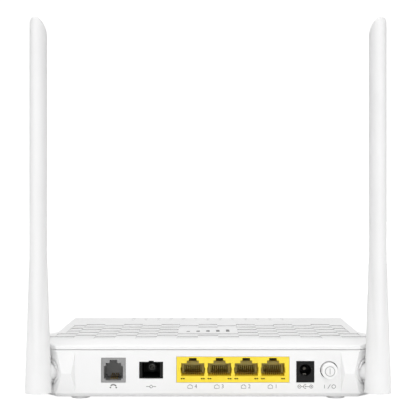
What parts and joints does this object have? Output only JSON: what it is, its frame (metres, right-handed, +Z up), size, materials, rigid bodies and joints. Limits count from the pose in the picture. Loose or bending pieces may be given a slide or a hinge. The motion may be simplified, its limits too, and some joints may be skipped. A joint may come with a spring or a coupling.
{
  "type": "optical network terminal",
  "caption": "Flat white desktop fibre terminal with faceted rear corners, a row of rear sockets, a push button and two tall swivelling blade antennas.",
  "frame": {"origin": "on the table under the middle of the whole object's box", "axes": "+Z up along the antennas, +X to the right seen from the connector side, the connector panel faces -Y"},
  "size_m": [0.1906, 0.1244, 0.1986],
  "materials": {
    "white_abs": "fine-textured white ABS",
    "yellow_pbt": "satin yellow PBT",
    "grey_pbt": "satin grey PBT",
    "black_pbt": "satin black PBT",
    "white_acetal": "smooth acetal",
    "gold_plated": "gold-plated bronze",
    "nickel_steel": "nickel-plated steel",
    "ceramic_sleeve": "ground black zirconia",
    "clear_acrylic": "clear moulded acrylic",
    "smoked_acrylic": "smoked moulded acrylic",
    "green_laminate": "solder mask on glass laminate",
    "chip_epoxy": "moulded epoxy",
    "capacitor_sleeve": "shrink sleeve",
    "led_body": "clear epoxy",
    "aluminium_fins": "extruded and plain",
    "silicone_pad": "soft silicone",
    "rubber_foot": "moulded rubber",
    "coax_jacket": "extruded jacket"
  },
  "bodies": {
    "housing": {"antenna_pigtail_left": "coax_jacket", "antenna_pigtail_right": "coax_jacket", "base_shell": "white_abs", "board_screws": "nickel_steel", "coax_connectors": "nickel_steel", "crystal": "nickel_steel", "dc_jack_body": "black_pbt", "dc_jack_pin": "nickel_steel", "dc_jack_spring": "nickel_steel", "electrolytic_capacitors": "capacitor_sleeve", "heat_sink": "aluminium_fins", "housing_screws": "nickel_steel", "lan_contacts": "gold_plated", "lan_jack_block": "yellow_pbt", "lan_transformers": "black_pbt", "light_guide": "clear_acrylic", "line_chip": "chip_epoxy", "main_board": "green_laminate", "main_processor": "chip_epoxy", "memory_chips": "chip_epoxy", "optical_module": "nickel_steel", "pon_receptacle": "black_pbt", "pon_sleeve": "ceramic_sleeve", "port_lamps": "smoked_acrylic", "power_inductors": "black_pbt", "power_switch_body": "black_pbt", "rubber_feet": "rubber_foot", "shield_can": "nickel_steel", "small_components": "chip_epoxy", "status_leds": "led_body", "tel_contacts": "gold_plated", "tel_jack_housing": "grey_pbt", "thermal_pad": "silicone_pad", "top_cover": "white_abs"},
    "antenna_left": {"antenna_shell_left": "white_abs", "antenna_cap_left": "white_abs", "swivel_clip_left": "white_acetal", "antenna_radiator_left": "green_laminate", "antenna_lead_left": "coax_jacket"},
    "antenna_right": {"antenna_shell_right": "white_abs", "antenna_cap_right": "white_abs", "swivel_clip_right": "white_acetal", "antenna_radiator_right": "green_laminate", "antenna_lead_right": "coax_jacket"},
    "button": {"power_button_cap": "white_abs", "power_switch_plunger": "white_acetal"}
  },
  "joints": [
    {"name": "antenna_left_swivel", "type": "hinge", "parent": "housing", "child": "antenna_left", "pos_m": [-0.08288, -0.04983, 0.0142], "axis": [-0.7071, -0.7071, 0], "range_deg": [-40, 90]},
    {"name": "antenna_right_swivel", "type": "hinge", "parent": "housing", "child": "antenna_right", "pos_m": [0.08288, -0.04983, 0.0142], "axis": [0.7071, -0.7071, 0], "range_deg": [-90, 40]},
    {"name": "power_button_press", "type": "slide", "parent": "housing", "child": "button", "axis": [0, 1, 0], "range_m": [0, 0.002], "stiffness_N_per_m": 300, "springref_m": -0.002}
  ]
}
